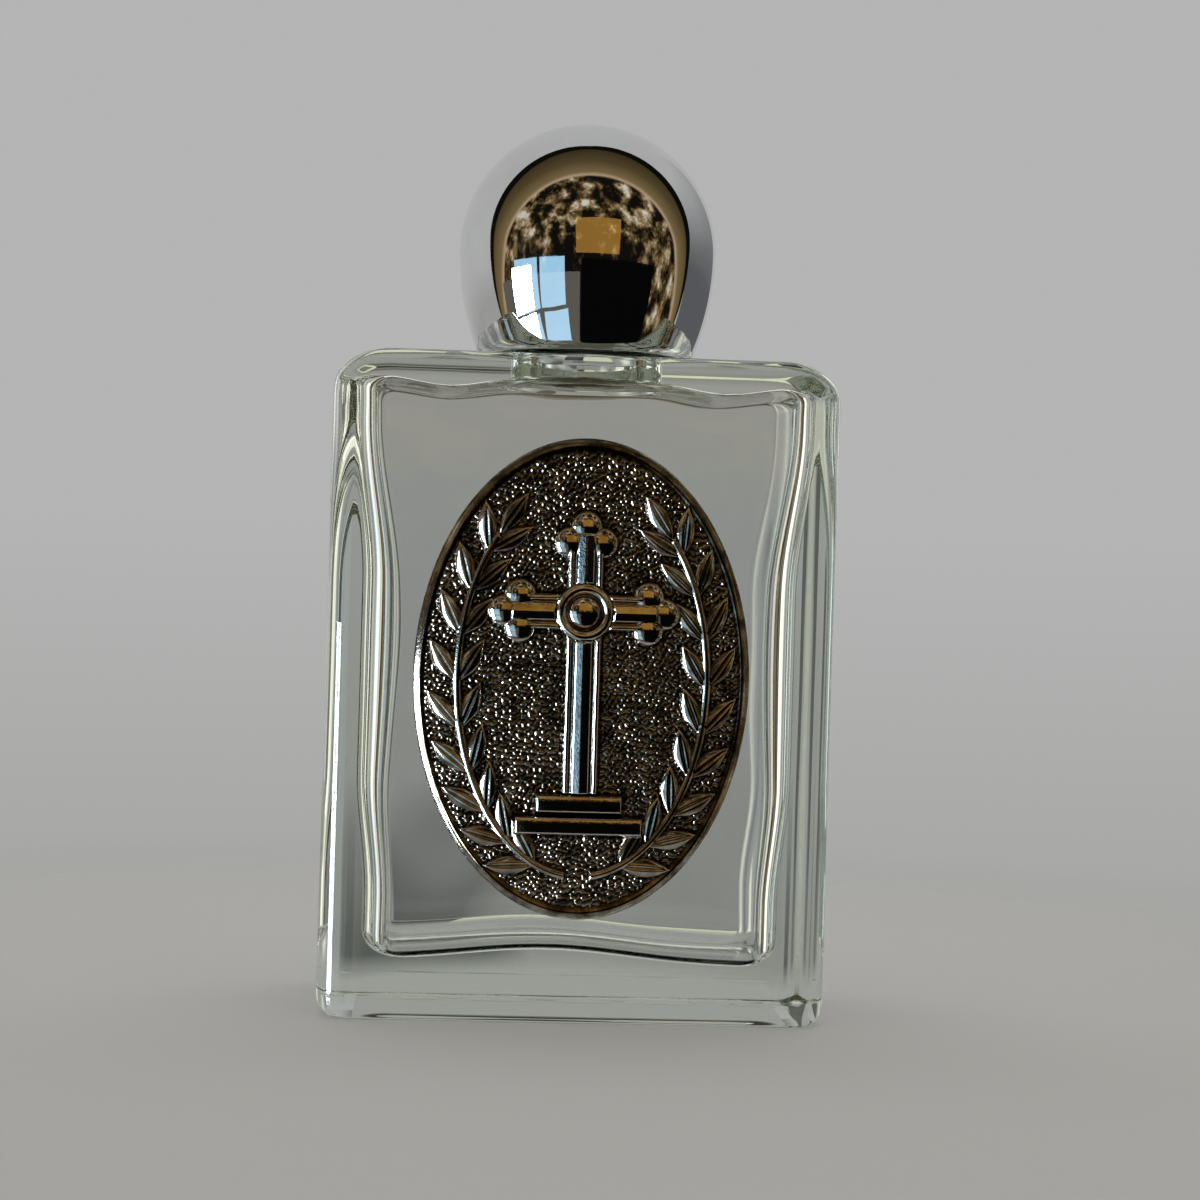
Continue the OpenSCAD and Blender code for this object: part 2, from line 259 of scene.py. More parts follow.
# Glass
SIDE_STEPS = (0, 0.03, 0.12, 0.28, 0.46, 0.64, 0.82, 0.965, 1)
FRONT_STEPS = (0, 0.08, 0.16, 0.24, 0.32, 0.40, 0.48, 0.56, 0.64, 0.72, 0.80, 0.88, 0.95, 0.985, 1)
CORNER_STEPS = 10
WALL_STEPS = (0.005, 0.02, *np.linspace(0.05, 0.95, 26), 0.98, 0.995)
LINE_STEPS = np.linspace(-0.12, 0.12, 9)
BASE_STEPS = (0.08, 0.25, 0.45, 0.62, 0.74, 0.80, 0.86, 0.90, 0.96)
SHOULDER_STEPS = (0.03, 0.12, 0.3, 0.5, 0.7, 0.86, 0.96, 1)
FLOOR_STEPS = (0.94, 0.82, 0.66, 0.5, 0.34, 0.2, 0.08)
RING_COUNT = 4 * (len(SIDE_STEPS) + CORNER_STEPS + len(FRONT_STEPS) - 2)
RING_ANGLES = np.arange(RING_COUNT) * 2 * math.pi / RING_COUNT


def soft_ring(half_x, half_y, corner_r):
    """X and Y of a rounded rectangle, from the middle of its +X side."""
    quarter = [(half_x, step * (half_y - corner_r)) for step in SIDE_STEPS]
    for step in range(1, CORNER_STEPS + 1):
        turn = math.pi / 2 * step / CORNER_STEPS
        x = half_x - corner_r + corner_r * math.cos(turn)
        y = half_y - corner_r + corner_r * math.sin(turn)
        quarter.append((x, y))
    quarter += [(step * (half_x - corner_r), half_y) for step in reversed(FRONT_STEPS[:-1])]
    return mirrored(quarter)


def mirrored(quarter):
    """A whole ring from its first quarter."""
    quarter = np.array(quarter)
    second = (quarter * (-1, 1))[::-1][1:]
    third = (quarter * (-1, -1))[1:]
    fourth = (quarter * (1, -1))[::-1][1:-1]
    return np.vstack([quarter, second, third, fourth])


def cavity_outline(z):
    """X and Y of the cavity at a height: flat at the front and back, with ends like flat ellipses."""
    half_x = CAVITY_HALF_X + CAVITY_LOW_FLARE * ramp(9, 19, z) + CAVITY_HIGH_FLARE * ramp(34, 47, z)
    return ellipse_ended(half_x, CAVITY_HALF_Y, CAVITY_END_RUN + CAVITY_END_SWELL * bell(z, 30, 11))


def ellipse_ended(half_x, half_y, run):
    """X and Y of an outline with half ellipses at its ends, in as many points as a rounded rectangle."""
    turns = np.linspace(0, math.pi / 2, len(SIDE_STEPS) + CORNER_STEPS)
    quarter = [(half_x - run + run * math.cos(turn), half_y * math.sin(turn)) for turn in turns]
    quarter += [(step * (half_x - run), half_y) for step in reversed(FRONT_STEPS[:-1])]
    return mirrored(quarter)


def round_ring(radius):
    """X and Y of a circle with as many points as a rounded rectangle."""
    return np.column_stack([np.cos(RING_ANGLES), np.sin(RING_ANGLES)]) * np.reshape(radius, (-1, 1))


def edge_ring(turn, run, drop, edge_r):
    """Outline and depth of a rounded edge, at a turn from 0 at the walls to 90 degrees on the flat."""
    share = 1 - max(math.cos(turn), 0) ** EDGE_SQUARENESS
    lift = math.sin(turn) ** EDGE_SQUARENESS
    corner_r = UPRIGHT_R - (UPRIGHT_R - UPRIGHT_LEAST_R) * share
    outline = soft_ring(BODY_HALF_X - run * share, BODY_HALF_Y - edge_r * share, corner_r)
    over = np.clip((np.abs(outline[:, 0]) - BODY_HALF_X + run) / run, 0, 1)
    depth = drop * (1 - np.sqrt(1 - over ** 2)) + edge_r * (1 - lift)
    return outline, depth


def shoulder_ring(turn):
    outline, depth = edge_ring(turn, SHOULDER_RUN, SHOULDER_DROP, SHOULDER_EDGE_R)
    return at_height(outline, BODY_TOP_Z - depth)


def heel_ring(turn):
    outline, depth = edge_ring(turn, HEEL_RUN, HEEL_LIFT, HEEL_EDGE_R)
    return at_height(outline, depth)


def seam_and_waves(ring):
    """The mould seam on both sides, a dashed line above the heel and the slow waves of pressed glass."""
    x, y, z = ring.T
    wave = WAVE_RISE * np.sin(0.62 * z + 0.35 * x + 1.0) * np.sin(0.41 * x - 0.23 * z)
    dashes = ramp(0.3, 0.7, np.sin(0.9 * x + 0.4) + 0.6 * np.sin(2.7 * x + 1.1))
    wave = wave - MOULD_LINE_DEPTH * dashes * bell(z, MOULD_LINE_Z, MOULD_LINE_W)
    ring[:, 1] += np.sign(y) * wave * ramp(7, 9.5, np.abs(y))
    seam = np.zeros(RING_COUNT)
    seam[[0, RING_COUNT // 2]] = SEAM_RISE
    ring[:, 0] += np.sign(x) * seam
    return ring


def base_rings():
    """From the middle of the base to its bearing edge."""
    half_x = BODY_HALF_X - HEEL_RUN
    half_y = BODY_HALF_Y - HEEL_EDGE_R
    rings = []
    for share in BASE_STEPS:
        outline = soft_ring(half_x - half_y * (1 - share), half_y * share, UPRIGHT_LEAST_R * share)
        rings.append(at_height(outline, BASE_HOLLOW * (1 - ramp(0.70, 0.90, share))))
    return rings


def body_rings():
    """From the bearing edge over the heel and the walls to the flat of the shoulder."""
    heel = [heel_ring(turn) for turn in np.radians(np.linspace(90, 0, 12))]
    shoulder = [shoulder_ring(turn) for turn in np.radians(np.linspace(0, 90, 13))]
    low = HEEL_LIFT + HEEL_EDGE_R
    high = BODY_TOP_Z - SHOULDER_DROP - SHOULDER_EDGE_R
    outline = soft_ring(BODY_HALF_X, BODY_HALF_Y, UPRIGHT_R)
    heights = [low + (high - low) * step for step in WALL_STEPS]
    walls = [at_height(outline, z) for z in heights]
    middle = (MOULD_LINE_Z - HEEL_EDGE_R) / (heights[0] - HEEL_EDGE_R)
    line = [heel[-1] + (walls[0] - heel[-1]) * (middle + step) for step in LINE_STEPS]
    return [seam_and_waves(ring) for ring in heel + line + walls + shoulder]


def shoulder_rings():
    """Across the flat shoulder to the foot of the neck's fillet."""
    edge = shoulder_ring(math.pi / 2)
    foot = at_height(round_ring(NECK_R + NECK_FILLET), BODY_TOP_Z)
    return [edge + (foot - edge) * share for share in SHOULDER_STEPS]


def thread_rise(z):
    """How far the neck's thread stands out at a height, for each point of a ring."""
    rise = np.zeros(RING_COUNT)
    sweep = 360.0 * THREAD_TURNS
    flank = (THREAD_ROOT_W - THREAD_CREST_W) / 2
    for turn in range(THREAD_TURNS + 1):
        angle = np.degrees(RING_ANGLES) + 360 * turn
        offset = np.abs(z - THREAD_FIRST_Z - THREAD_PITCH * angle / 360)
        crest = ramp(0, 1, (THREAD_ROOT_W / 2 - offset) / flank)
        fade = np.clip(np.minimum(angle, sweep - angle) / THREAD_FADE, 0, 1)
        rise = np.maximum(rise, THREAD_RISE * crest * fade)
    return rise


def neck_rings():
    """Fillet, threaded neck, rim and bore, down to the top of the funnel."""
    rings = []
    for turn in np.radians(np.linspace(15, 90, 6)):
        radius = NECK_R + NECK_FILLET * (1 - math.sin(turn))
        rings.append(at_height(round_ring(radius), BODY_TOP_Z + NECK_FILLET * (1 - math.cos(turn))))
    low = BODY_TOP_Z + NECK_FILLET
    high = RIM_Z - RIM_EDGE_R
    seam = SEAM_RISE * (np.abs(np.sin(RING_ANGLES)) < 0.01)
    for z in np.linspace(low, high, round((high - low) / NECK_RING_STEP))[1:]:
        rings.append(at_height(round_ring(NECK_R + np.maximum(thread_rise(z), seam)), z))
    for turn in np.radians(np.linspace(15, 90, 6)):
        radius = NECK_R - RIM_EDGE_R * (1 - math.cos(turn))
        rings.append(at_height(round_ring(radius), high + RIM_EDGE_R * math.sin(turn)))
    mouth_r = BORE_R + MOUTH_CHAMFER
    rings.append(at_height(round_ring((NECK_R - RIM_EDGE_R + mouth_r) / 2), RIM_Z))
    for turn in np.radians(np.linspace(0, 90, 4)):
        radius = mouth_r - MOUTH_CHAMFER * math.sin(turn)
        rings.append(at_height(round_ring(radius), RIM_Z - MOUTH_CHAMFER * (1 - math.cos(turn))))
    for z in np.linspace(RIM_Z - MOUTH_CHAMFER, FUNNEL_HIGH_Z, 9)[1:]:
        rings.append(at_height(round_ring(BORE_R), z))
    for share in np.linspace(0, 1, 13)[1:]:
        radius = BORE_R + (FUNNEL_R - BORE_R) * ramp(0, 1, share)
        z = FUNNEL_HIGH_Z + (FUNNEL_LOW_Z - FUNNEL_HIGH_Z) * share
        rings.append(at_height(round_ring(radius), z))
    return rings


def cavity_rings():
    """From the bore through the funnel, over the roof, down the walls and in over the floor."""
    bore = round_ring(FUNNEL_R)
    wall = cavity_outline(CAVITY_ROOF_Z)
    run = np.linalg.norm(wall - bore, axis=1)
    flare = np.minimum(FUNNEL_LIP_R, FLARE_MOST * run)
    facing = ramp(0.6, 1.0, np.abs(wall[:, 1]) / CAVITY_HALF_Y)
    roof_r = CAVITY_ROOF_END_R + (CAVITY_ROOF_EDGE_R - CAVITY_ROOF_END_R) * facing
    bend = np.minimum(roof_r, BEND_MOST * run)
    rings = []
    for turn in np.radians(np.linspace(0, 90, 9)):
        share = flare / run * (1 - math.cos(turn))
        z = CAVITY_ROOF_Z + flare * (1 - math.sin(turn))
        rings.append(at_height(bore + (wall - bore) * share[:, None], z))
    for step in np.linspace(0, 1, 10)[1:-1]:
        share = flare / run * (1 - step) + (1 - bend / run) * step
        rings.append(at_height(bore + (wall - bore) * share[:, None], CAVITY_ROOF_Z))
    for turn in np.radians(np.linspace(0, 90, 10)):
        share = 1 - bend / run * (1 - math.sin(turn))
        z = CAVITY_ROOF_Z - roof_r * (1 - math.cos(turn))
        rings.append(at_height(bore + (wall - bore) * share[:, None], z))
    low = CAVITY_LOW_Z + CAVITY_FLOOR_END_R
    high = CAVITY_ROOF_Z - CAVITY_ROOF_EDGE_R
    for z in np.linspace(high, low, 40)[1:]:
        wall = cavity_outline(z)
        rings.append(at_height(wall, z))
    half_x = CAVITY_HALF_X - CAVITY_FLOOR_END_R
    half_y = CAVITY_HALF_Y - CAVITY_FLOOR_EDGE_R
    floor = ellipse_ended(half_x, half_y, CAVITY_END_RUN)
    floor_r = CAVITY_FLOOR_END_R + (CAVITY_FLOOR_EDGE_R - CAVITY_FLOOR_END_R) * facing
    for turn in np.radians(np.linspace(0, 90, 12)):
        share = 1 - math.cos(turn)
        z = CAVITY_LOW_Z + floor_r * (1 - math.sin(turn))
        rings.append(at_height(wall + (floor - wall) * share, z))
    for share in FLOOR_STEPS:
        outline = ellipse_ended(half_x - half_y * (1 - share), half_y * share, CAVITY_END_RUN * share)
        rings.append(at_height(outline, CAVITY_LOW_Z))
    return rings


def bowed(ring):
    """The cavity's floor, roof and faces bow inward, as in pressed glass."""
    x, y, z = np.array(ring).T
    z = z + CAVITY_FLOOR_BOW * bell(x, -2, 9) * (1 - ramp(4.5, 15, z))
    z = z - CAVITY_ROOF_BOW * bell(np.abs(x), 11, 3.4) * ramp(42, 49, z) * ramp(4, 8, np.abs(x))
    face = CAVITY_FACE_BOW * bell(z, 27, 14) * bell(x, 0, 12)
    wave = CAVITY_WAVE * np.sin(0.55 * z + 0.8) * np.sin(0.5 * x + 0.4)
    y = y - y / CAVITY_HALF_Y * (face + wave) * ramp(50, 46, z)
    return np.column_stack([x, y, z])


def make_glass():
    """The flask as one closed skin: base, walls, shoulder, neck, bore and cavity."""
    inside = [bowed(ring) for ring in cavity_rings()]
    rings = base_rings() + body_rings() + shoulder_rings() + neck_rings() + inside
    floor_pole = bowed([(0, 0, CAVITY_LOW_Z)])[0]
    points, faces = ring_skin(rings, (0, 0, BASE_HOLLOW), floor_pole)
    glass = add_piece("flask_glass", points, faces, glass_material())
    weight_normals(glass)
    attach(glass, "bottle")
    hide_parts("glass_bottle")


# Cap
def cap_profile():
    """Half outline of the hollow ball: over the outside, round the rim and up inside."""
    tuck_height = BALL_Z - CAP_LOW_Z
    tuck_in = BALL_R - CAP_RIM_R
    tuck_r = (tuck_height ** 2 + tuck_in ** 2) / (2 * tuck_in)
    profile = [(BALL_R * math.sin(turn), BALL_Z + BALL_R * math.cos(turn))
               for turn in np.radians(np.linspace(0, 90, 46))]
    low_turn = math.asin((tuck_height - CAP_RIM_CHAMFER) / tuck_r)
    profile += [(BALL_R - tuck_r * (1 - math.cos(turn)), BALL_Z - tuck_r * math.sin(turn))
                for turn in np.linspace(0, low_turn, 22)[1:]]
    for turn in np.radians(np.linspace(20, 90, 4)):
        profile.append((CAP_RIM_R - CAP_RIM_CHAMFER * (1 - math.cos(turn)),
                        CAP_LOW_Z + CAP_RIM_CHAMFER * (1 - math.sin(turn))))
    profile.append((CAP_BORE_R + CAP_MOUTH_CHAMFER, CAP_LOW_Z))
    profile.append((CAP_BORE_R, CAP_LOW_Z + CAP_MOUTH_CHAMFER))
    profile += [(CAP_BORE_R, z) for z in np.linspace(CAP_LOW_Z + CAP_RIM_CHAMFER, CAP_LEDGE_Z, 10)]
    crown_r = BALL_R - CROWN_WALL
    crown_turn = math.asin(CAP_LEDGE_R / crown_r)
    profile.append((CAP_LEDGE_R, CAP_LEDGE_Z))
    profile += [(crown_r * math.sin(turn), BALL_Z + crown_r * math.cos(turn))
                for turn in np.linspace(crown_turn, 0, 14)]
    return profile


def make_cap():
    """The chrome ball, and the looks of the sleeve and the liner inside it."""
    rings, top, bottom = lathe(cap_profile(), CAP_SEGMENTS)
    points, faces = ring_skin(rings, top, bottom)
    shell = add_piece("cap_ball", points, faces, chrome_material())
    weight_normals(shell)
    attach(shell, "cap")
    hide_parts("cap_shell")
    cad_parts["cap_insert"].material_slots[0].material = plastic_material()
    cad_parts["cap_liner"].material_slots[0].material = foam_material()


# Medallion
GRID_U = 340
GRID_V = 484
BRANCH_A = MEDAL_A - BRANCH_INSET
BRANCH_B = MEDAL_B - BRANCH_INSET


def stipple(x, z):
    """Height between 0 and 1 of a ground of small crooked grains, from waves in all directions."""
    draws = np.random.default_rng(GRAIN_SEED)
    total = np.zeros(x.shape)
    for _ in range(GRAIN_WAVES):
        turn = draws.uniform(0, math.pi)
        pace = 2 * math.pi / (GRAIN * draws.uniform(*GRAIN_SPREAD))
        phase = draws.uniform(0, 2 * math.pi)
        total += np.cos(pace * (x * math.cos(turn) + z * math.sin(turn)) + phase)
    return ramp(*GRAIN_CUT, total / math.sqrt(GRAIN_WAVES / 2))


def bar_height(offset):
    """Section of a cross arm: a roof in the middle, a groove and a raised border."""
    marks = (0, 0.60, 0.74, 0.88, 1.00, 1.20, 1.34, 1.46)
    heights = (1.0, 0.86, 0.66, 0.66, 0.86, 0.86, 0.70, 0)
    return np.interp(offset, marks, heights)


def bud_heights(x, z):
    """Three round buds at the upper end and at both side ends of the cross."""
    height = np.zeros(x.shape)
    lobes = ((0, BUD_R / 2), (BUD_R, -BUD_R / 2), (-BUD_R, -BUD_R / 2))
    for lobe_across, lobe_along in lobes:
        spots = [(lobe_across, CROSS_RISE + CROSS_HEAD + lobe_along)]
        spots += [(side * (CROSS_ARM + lobe_along), CROSS_RISE + lobe_across) for side in (-1, 1)]
        for spot_x, spot_z in spots:
            away = np.hypot(x - spot_x, z - spot_z)
            bud = np.where(away < BUD_R, BUD_EDGE, 0) + BUD_CROWN * dome(away, BUD_R)
            height = np.maximum(height, bud)
    return height


def cross_heights(x, z):
    """Budded cross with bordered arms and a ringed boss in the middle."""
    upright = (z > CROSS_RISE - CROSS_SHAFT) & (z < CROSS_RISE + CROSS_HEAD)
    level = np.abs(x) < CROSS_ARM
    height = np.where(upright, bar_height(np.abs(x)), 0)
    height = np.maximum(height, np.where(level, bar_height(np.abs(z - CROSS_RISE)), 0))
    height = np.maximum(height, bud_heights(x, z))
    away = np.hypot(x, z - CROSS_RISE)
    ring = BOSS_RING_RISE * dome(away - BOSS_RING_R, BOSS_RING_W)
    ball = BOSS_BALL_RISE * dome(away, BOSS_BALL_R)
    return np.where(away < BOSS_R, BOSS_FLOOR + np.maximum(ring, ball), height)


def step_heights(x, z):
    """Two steps under the cross, with softened edges."""
    height = np.zeros(x.shape)
    for step in range(2):
        top = CROSS_RISE - CROSS_SHAFT - step * STEP_RISE
        half_w = STEP_WIDTH / 2 + step * STEP_TREAD
        inside = np.minimum(half_w - np.abs(x), np.minimum(top - z, z - top + STEP_RISE))
        pillow = 0.14 * dome(z - top + STEP_RISE / 2, STEP_RISE / 2) + 0.1 * dome(x, half_w)
        height = np.maximum(height, (STEP_HEIGHT + pillow) * ramp(-0.06, 0.3, inside) * (inside > -0.06))
    return height


def branch_point(angle):
    """X and Z of the stem at an angle in degrees."""
    return BRANCH_A * math.cos(math.radians(angle)), BRANCH_B * math.sin(math.radians(angle))


def branch_heading(angle):
    """Direction of the stem at an angle, in degrees."""
    turn = math.radians(angle)
    return math.degrees(math.atan2(BRANCH_B * math.cos(turn), -BRANCH_A * math.sin(turn)))


def leaf_heights(x, z, root, heading):
    """One pointed leaf with a sunk midrib and a raised tip."""
    turn = math.radians(heading)
    along = (x - root[0]) * math.cos(turn) + (z - root[1]) * math.sin(turn)
    across = -(x - root[0]) * math.sin(turn) + (z - root[1]) * math.cos(turn)
    arc_r = (LEAF_LENGTH ** 2 + LEAF_WIDTH ** 2) / (4 * LEAF_WIDTH)
    reach = np.sqrt(np.clip(arc_r ** 2 - (along - LEAF_LENGTH / 2) ** 2, 0, None))
    half_w = np.clip(reach - arc_r + LEAF_WIDTH / 2, 1e-6, None)
    inside = (along > 0) & (along < LEAF_LENGTH) & (np.abs(across) < half_w)
    share = np.clip(np.abs(across) / half_w, 0, 1)
    height = LEAF_EDGE + (LEAF_CROWN + LEAF_TIP * along / LEAF_LENGTH) * (1 - share ** 2)
    rib = RIB_DEPTH * bell(across, 0, RIB_W)
    return np.where(inside, height - rib, 0)


def branch_heights(x, z):
    """One leafy branch on the right; the other is its mirror image."""
    angle = np.degrees(np.arctan2(z / BRANCH_B, x / BRANCH_A))
    turn = np.radians(angle)
    away = np.hypot(x - BRANCH_A * np.cos(turn), z - BRANCH_B * np.sin(turn))
    on_stem = (angle > BRANCH_FROM) & (angle < BRANCH_TO)
    height = np.where(on_stem, STEM_HEIGHT * dome(away, STEM_HALF_W), 0)
    sweep = BRANCH_TO - BRANCH_FROM
    for pair in range(1, LEAF_PAIRS + 1):
        at = BRANCH_FROM + sweep * pair / (LEAF_PAIRS + 0.5)
        for side in (-1, 1):
            lean = branch_heading(at) + side * LEAF_SPREAD
            height = np.maximum(height, leaf_heights(x, z, branch_point(at), lean))
    end_leaf = leaf_heights(x, z, branch_point(BRANCH_TO), branch_heading(BRANCH_TO))
    return np.maximum(height, end_leaf)


def relief(x, z):
    """Height of the medallion's front above its plain ground."""
    raised = np.maximum(cross_heights(x, z), step_heights(x, z))
    raised = np.maximum(raised, np.maximum(branch_heights(x, z), branch_heights(-x, z)))
    edge = 1 - np.sqrt((x / (MEDAL_A - PLATE_BEVEL)) ** 2 + (z / (MEDAL_B - PLATE_BEVEL)) ** 2)
    inner = edge * MEDAL_A
    grains = GRAIN_RISE * stipple(x, z) * ramp(0.25, 0.6, inner)
    lip = LIP_RISE * (1 - ramp(0.1, 0.4, inner))
    return np.maximum(raised, grains + lip)


def wear(height):
    """Share of bare rubbed metal: high where the relief stands out, low in the recesses."""
    blurred = height
    for _ in range(WEAR_BLURS):
        padded = np.pad(blurred, 1, mode="edge")
        beside = padded[:-2, 1:-1] + padded[2:, 1:-1] + padded[1:-1, :-2] + padded[1:-1, 2:]
        blurred = (beside + blurred) / 5
    everywhere, by_edge, by_height = WEAR
    return np.clip(everywhere + by_edge * (height - blurred) + by_height * height, 0, 1)


def make_medallion():
    """The plate: a grid with the relief over the oval, a bevel round it and a closed back."""
    u, v = np.meshgrid(np.linspace(-1, 1, GRID_U), np.linspace(-1, 1, GRID_V))
    inner_a = MEDAL_A - PLATE_BEVEL
    inner_b = MEDAL_B - PLATE_BEVEL
    x = inner_a * u * np.sqrt(1 - v * v / 2)
    z = inner_b * v * np.sqrt(1 - u * u / 2)
    height = relief(x, z)
    front_y = PLATE_FRONT_Y - height + CROWN * (x / MEDAL_A) ** 2
    front = np.column_stack([x.ravel(), front_y.ravel(), (MEDAL_Z + z).ravel()])
    number = np.arange(GRID_U * GRID_V).reshape(GRID_V, GRID_U)
    corners = (number[:-1, :-1], number[:-1, 1:], number[1:, 1:], number[1:, :-1])
    faces = np.stack(corners, axis=-1).reshape(-1, 4).tolist()
    sides = (number[0, :-1], number[:-1, -1], number[-1, :0:-1], number[:0:-1, 0])
    rim = np.concatenate(sides).tolist()
    turn = np.arctan2(z.ravel()[rim] / inner_b, x.ravel()[rim] / inner_a)
    points = [front]
    worn = [wear(height).ravel()]
    last = rim
    count = GRID_U * GRID_V
    for out, back, shine in PLATE_RINGS:
        sunk = CROWN * np.cos(turn) ** 2 * (1 - back / PLATE_DEPTH)
        ring = np.column_stack([(inner_a + out) * np.cos(turn), PLATE_FRONT_Y + back + sunk,
                                MEDAL_Z + (inner_b + out) * np.sin(turn)])
        numbers = list(range(count, count + len(rim)))
        points.append(ring)
        worn.append(np.full(len(rim), shine))
        faces += band(last, numbers)
        last = numbers
        count += len(rim)
    points.append(np.array([[0, PLATE_FRONT_Y + PLATE_DEPTH, MEDAL_Z]]))
    worn.append(np.array([PLATE_RINGS[-1][2]]))
    faces += [(count, last[(i + 1) % len(last)], last[i]) for i in range(len(last))]
    medal = add_piece("relief_medallion", np.vstack(points), faces, silver_material())
    rubbed = medal.data.attributes.new("wear", "FLOAT", "POINT")
    rubbed.data.foreach_set("value", np.concatenate(worn).astype(np.float32))
    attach(medal, "bottle")
    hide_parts("medallion")


def make_pad():
    """The pad of glue, pressed flat, with an edge that has crept unevenly."""
    angles = np.arange(PAD_SEGMENTS) * 2 * math.pi / PAD_SEGMENTS
    creep = 0.25 * np.sin(5 * angles + 1) + 0.2 * np.sin(11 * angles + 2) + 0.12 * np.sin(23 * angles)
    depths = [(share, PAD_BACK_Y) for share in (0.2, 0.6, 0.9, 0.99)]
    depths.append((1.0, (PAD_BACK_Y + PAD_FRONT_Y) / 2))
    depths += [(share, PAD_FRONT_Y) for share in (0.99, 0.6, 0.2)]
    rings = []
    for share, y in depths:
        x = (MEDAL_A - PAD_MARGIN + creep) * share * np.cos(angles)
        z = MEDAL_Z + (MEDAL_B - PAD_MARGIN + creep) * share * np.sin(angles)
        rings.append(np.column_stack([x, np.full(PAD_SEGMENTS, y), z]))
    points, faces = ring_skin(rings, (0, PAD_BACK_Y, MEDAL_Z), (0, PAD_FRONT_Y, MEDAL_Z))
    pad = add_piece("glue_pad", points, faces, glue_material())
    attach(pad, "bottle")
    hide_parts("medallion_adhesive")


# Materials
def feed(tree, socket, value):
    """Links an output to a socket, or sets the socket to a constant."""
    if isinstance(value, bpy.types.NodeSocket):
        tree.links.new(value, socket)
    else:
        socket.default_value = value


def node(tree, kind, **values):
    """A node with its named sockets fed."""
    made = tree.nodes.new("ShaderNode" + kind)
    for name, value in values.items():
        feed(tree, made.inputs[name.replace("_", " ")], value)
    return made


def colour_ramp(tree, factor, *stops):
    """Colours at places between 0 and 1."""
    made = tree.nodes.new("ShaderNodeValToRGB")
    elements = made.color_ramp.elements
    while len(elements) < len(stops):
        elements.new(0.5)
    for element, (place, colour) in zip(elements, stops):
        element.position = place
        element.color = (*colour, 1)
    tree.links.new(factor, made.inputs["Fac"])
    return made.outputs["Color"]


def spread(tree, value, low, high, to_low, to_high, eased=False):
    """Maps a value from one range to another and holds it at the ends."""
    made = node(tree, "MapRange", Value=value, From_Min=low, From_Max=high,
                To_Min=to_low, To_Max=to_high)
    if eased:
        made.interpolation_type = "SMOOTHSTEP"
    return made.outputs["Result"]


def math_node(tree, operation, first, second):
    made = node(tree, "Math")
    made.operation = operation
    for socket, value in zip(made.inputs, (first, second)):
        feed(tree, socket, value)
    return made.outputs["Value"]


def vector_node(tree, operation, first, *second):
    """The outputs of a calculation with coordinates and, where it takes one, a constant vector."""
    made = node(tree, "VectorMath")
    made.operation = operation
    for socket, value in zip(made.inputs, (first, *second)):
        feed(tree, socket, value)
    return made.outputs


def new_material(name):
    """An empty material: its tree, its shader and its object coordinates."""
    material = bpy.data.materials.new(name)
    material.use_nodes = True
    tree = material.node_tree
    shader = tree.nodes["Principled BSDF"]
    place = node(tree, "TexCoord").outputs["Object"]
    return material, tree, shader, place


def noise(tree, place, scale, detail=2.0, roughness=0.5):
    made = node(tree, "TexNoise", Vector=place, Scale=scale, Detail=detail, Roughness=roughness)
    return made.outputs["Fac"]


def link(tree, output, shader, socket):
    tree.links.new(output, shader.inputs[socket])


def bump(tree, shader, height, distance, strength):
    made = node(tree, "Bump", Height=height, Distance=distance, Strength=strength)
    link(tree, made.outputs["Normal"], shader, "Normal")


def glass_material():
    """Clear pressed glass: slight waves, faint smears, and a green-grey tint in the thick parts."""
    material, tree, shader, place = new_material("clear_glass")
    shader.inputs["Base Color"].default_value = (0.84, 0.85, 0.837, 1)
    shader.inputs["Transmission Weight"].default_value = 1
    shader.inputs["IOR"].default_value = 1.5
    smear = noise(tree, place, 160, 4, 0.6)
    link(tree, spread(tree, smear, 0.52, 0.75, 0.0, 0.035), shader, "Roughness")
    bump(tree, shader, noise(tree, place, 70, 1), 0.0002, 0.06)
    tint = node(tree, "VolumeAbsorption", Color=(0.77, 0.81, 0.74, 1), Density=43.0)
    tree.links.new(tint.outputs["Volume"], tree.nodes["Material Output"].inputs["Volume"])
    return material


def chrome_material():
    """Mirror chrome with fine handling marks and faint smears."""
    material, tree, shader, place = new_material("mirror_chrome")
    shader.inputs["Metallic"].default_value = 1
    smear = noise(tree, place, 220, 5, 0.65)
    tone = colour_ramp(tree, smear, (0.3, (0.80, 0.80, 0.80)), (0.7, (0.88, 0.88, 0.89)))
    link(tree, tone, shader, "Base Color")
    link(tree, spread(tree, smear, 0.45, 0.8, 0.02, 0.09), shader, "Roughness")
    bump(tree, shader, noise(tree, place, 900, 3), 0.00002, 0.06)
    return material


def plastic_material():
    """White moulded plastic with a fine satin grain."""
    material, tree, shader, place = new_material("moulded_plastic")
    cloud = noise(tree, place, 300, 3)
    tone = colour_ramp(tree, cloud, (0.3, (0.84, 0.84, 0.76)), (0.7, (0.91, 0.91, 0.84)))
    link(tree, tone, shader, "Base Color")
    link(tree, spread(tree, cloud, 0.3, 0.7, 0.38, 0.52), shader, "Roughness")
    shader.inputs["Subsurface Weight"].default_value = 0.15
    shader.inputs["Subsurface Radius"].default_value = (0.002, 0.002, 0.002)
    bump(tree, shader, noise(tree, place, 4000, 2), 0.00003, 0.15)
    return material


def foam_material():
    """Closed-cell foam: small cells with soft edges."""
    material, tree, shader, place = new_material("liner_foam")
    cells = node(tree, "TexVoronoi", Vector=place, Scale=2600.0).outputs["Distance"]
    tone = colour_ramp(tree, cells, (0.0, (0.86, 0.85, 0.80)), (0.8, (0.72, 0.70, 0.64)))
    link(tree, tone, shader, "Base Color")
    shader.inputs["Roughness"].default_value = 0.8
    bump(tree, shader, cells, 0.0001, 0.5)
    return material


